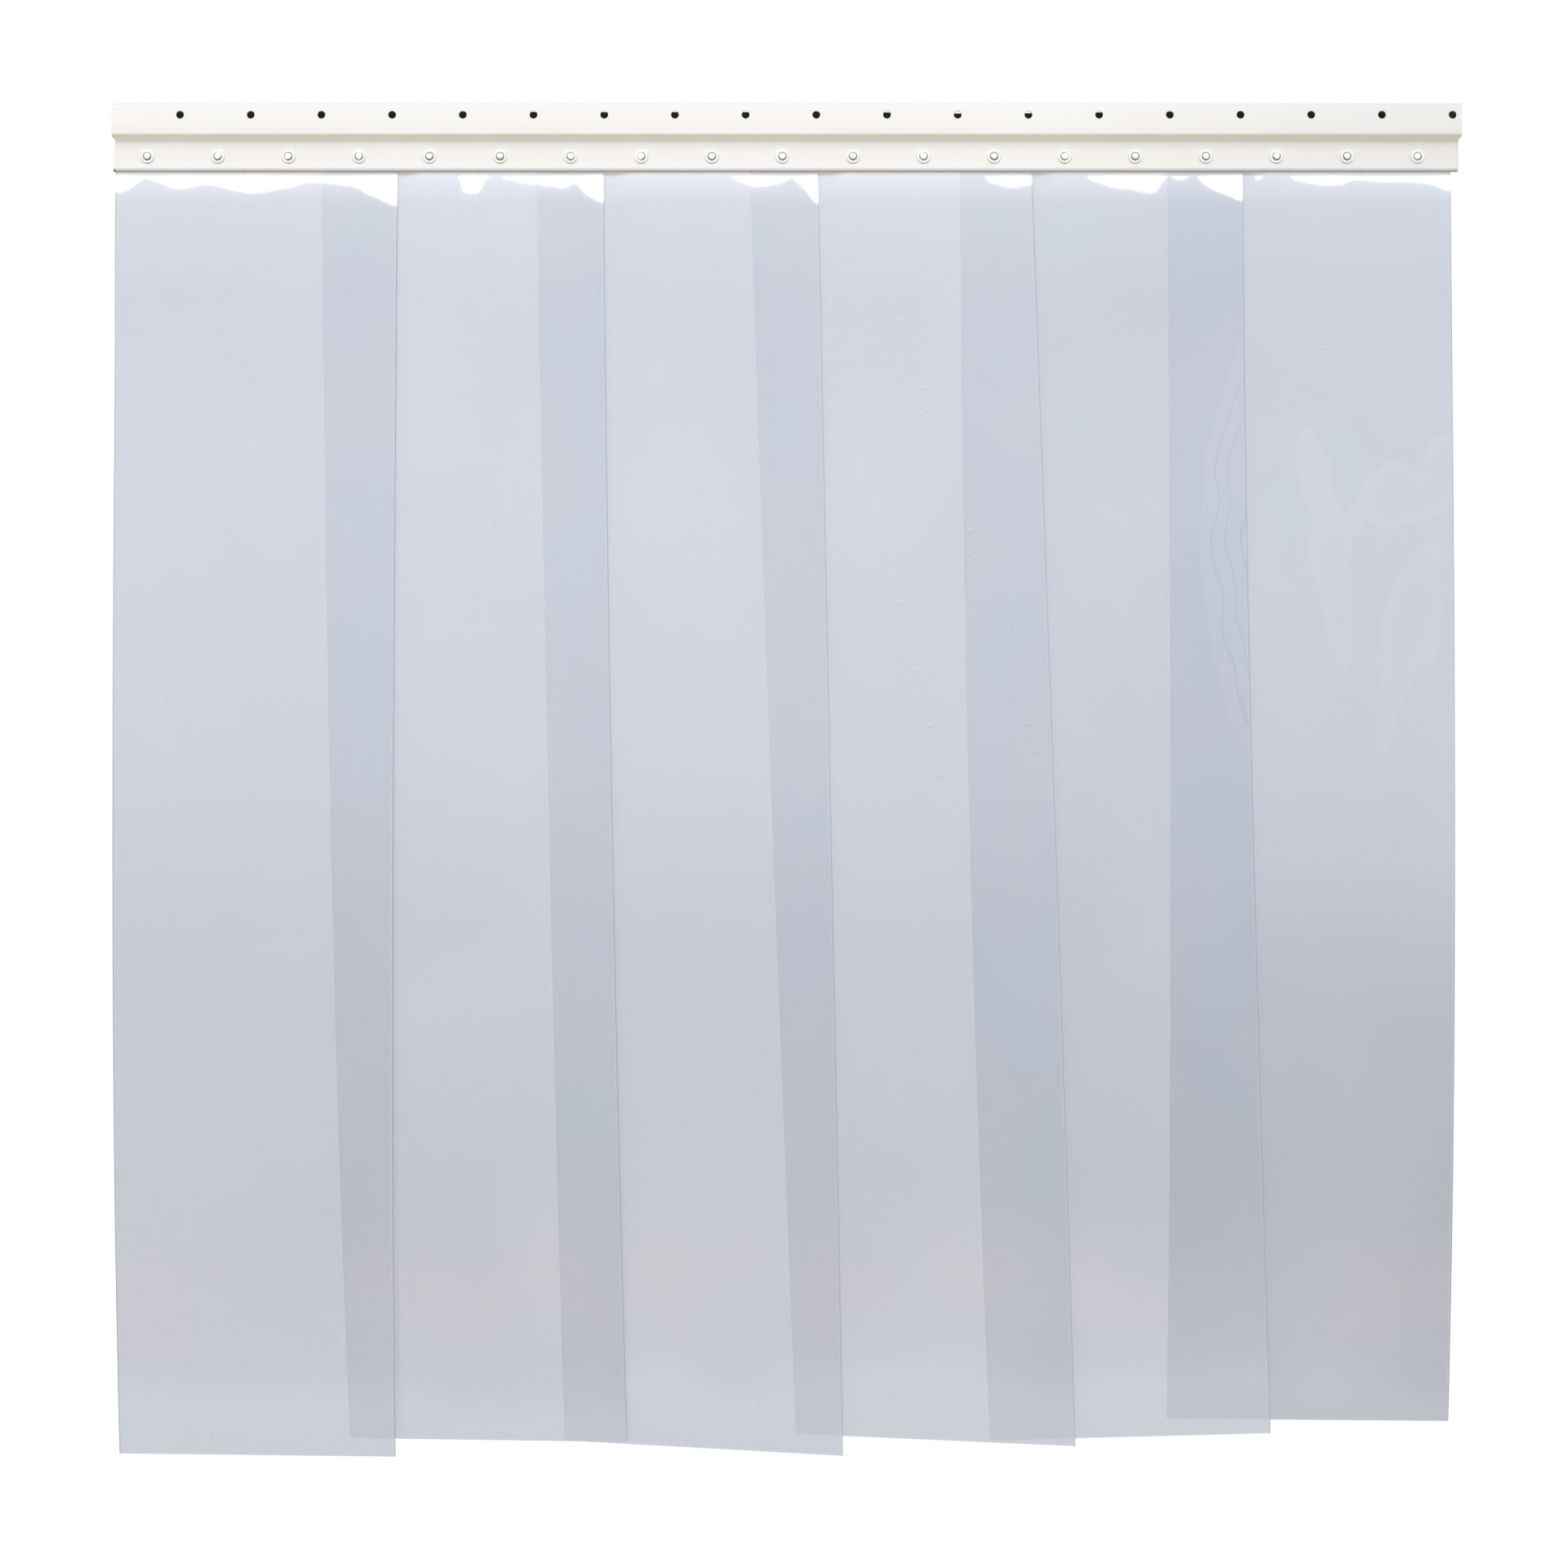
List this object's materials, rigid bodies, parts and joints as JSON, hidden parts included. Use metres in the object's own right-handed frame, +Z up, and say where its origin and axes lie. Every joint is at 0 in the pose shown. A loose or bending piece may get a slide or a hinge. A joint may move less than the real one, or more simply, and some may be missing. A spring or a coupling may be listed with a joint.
{
  "type": "pvc strip curtain",
  "caption": "Strip curtain for a doorway: overlapping clear PVC strips clamped behind a white joggled steel rail, swinging on one line under it.",
  "frame": {"origin": "on the wall face of the rail's upper flange, at the middle of its length and height", "axes": "-Y out of the wall face, which is the side pictured; +Z up; +X along the rail, to the right in the picture"},
  "size_m": [0.958, 0.0434, 0.9636],
  "materials": {
    "white_paint": "warm white powder coat, satin",
    "clear_pvc": "clear soft PVC with a faint blue tint, glossy",
    "dark_steel": "black coated steel, matt",
    "bright_steel": "zinc plated, bright"
  },
  "bodies": {
    "rail": {"mounting_rail": "white_paint", "strip_1_head": "clear_pvc", "strip_2_head": "clear_pvc", "strip_3_head": "clear_pvc", "strip_4_head": "clear_pvc", "strip_5_head": "clear_pvc", "strip_6_head": "clear_pvc", "clamp_plate_1": "dark_steel", "clamp_plate_2": "dark_steel", "clamp_plate_3": "dark_steel", "clamp_plate_4": "dark_steel", "clamp_plate_5": "dark_steel", "clamp_plate_6": "dark_steel", "stud_01": "bright_steel", "stud_02": "bright_steel", "stud_03": "bright_steel", "stud_04": "bright_steel", "stud_05": "bright_steel", "stud_06": "bright_steel", "stud_07": "bright_steel", "stud_08": "bright_steel", "stud_09": "bright_steel", "stud_10": "bright_steel", "stud_11": "bright_steel", "stud_12": "bright_steel", "stud_13": "bright_steel", "stud_14": "bright_steel", "stud_15": "bright_steel", "stud_16": "bright_steel", "stud_17": "bright_steel", "stud_18": "bright_steel", "stud_19": "bright_steel", "nut_01": "bright_steel", "nut_02": "bright_steel", "nut_03": "bright_steel", "nut_04": "bright_steel", "nut_05": "bright_steel", "nut_06": "bright_steel", "nut_07": "bright_steel", "nut_08": "bright_steel", "nut_09": "bright_steel", "nut_10": "bright_steel", "nut_11": "bright_steel", "nut_12": "bright_steel", "nut_13": "bright_steel", "nut_14": "bright_steel", "nut_15": "bright_steel", "nut_16": "bright_steel", "nut_17": "bright_steel", "nut_18": "bright_steel", "nut_19": "bright_steel"},
    "strip_1": {"strip_1": "clear_pvc"},
    "strip_2": {"strip_2": "clear_pvc"},
    "strip_3": {"strip_3": "clear_pvc"},
    "strip_4": {"strip_4": "clear_pvc"},
    "strip_5": {"strip_5": "clear_pvc"},
    "strip_6": {"strip_6": "clear_pvc"}
  },
  "joints": [
    {"name": "strip_1_swing", "type": "hinge", "parent": "rail", "child": "strip_1", "pos_m": [-0.378, 0.01025, -0.0384], "axis": [1, 0, 0], "range_deg": [-75, 75]},
    {"name": "strip_2_swing", "type": "hinge", "parent": "rail", "child": "strip_2", "pos_m": [-0.228, 0.01025, -0.0384], "axis": [1, 0, 0], "range_deg": [-75, 75]},
    {"name": "strip_3_swing", "type": "hinge", "parent": "rail", "child": "strip_3", "pos_m": [-0.078, 0.01025, -0.0384], "axis": [1, 0, 0], "range_deg": [-75, 75]},
    {"name": "strip_4_swing", "type": "hinge", "parent": "rail", "child": "strip_4", "pos_m": [0.072, 0.01025, -0.0384], "axis": [1, 0, 0], "range_deg": [-75, 75]},
    {"name": "strip_5_swing", "type": "hinge", "parent": "rail", "child": "strip_5", "pos_m": [0.222, 0.01025, -0.0384], "axis": [1, 0, 0], "range_deg": [-75, 75]},
    {"name": "strip_6_swing", "type": "hinge", "parent": "rail", "child": "strip_6", "pos_m": [0.372, 0.01025, -0.0384], "axis": [1, 0, 0], "range_deg": [-75, 75]}
  ],
  "couplings": [
    {"joint": "strip_2_swing", "follows": "strip_1_swing", "ratio": 1},
    {"joint": "strip_3_swing", "follows": "strip_1_swing", "ratio": 1},
    {"joint": "strip_4_swing", "follows": "strip_1_swing", "ratio": 1},
    {"joint": "strip_5_swing", "follows": "strip_1_swing", "ratio": 1},
    {"joint": "strip_6_swing", "follows": "strip_1_swing", "ratio": 1}
  ]
}
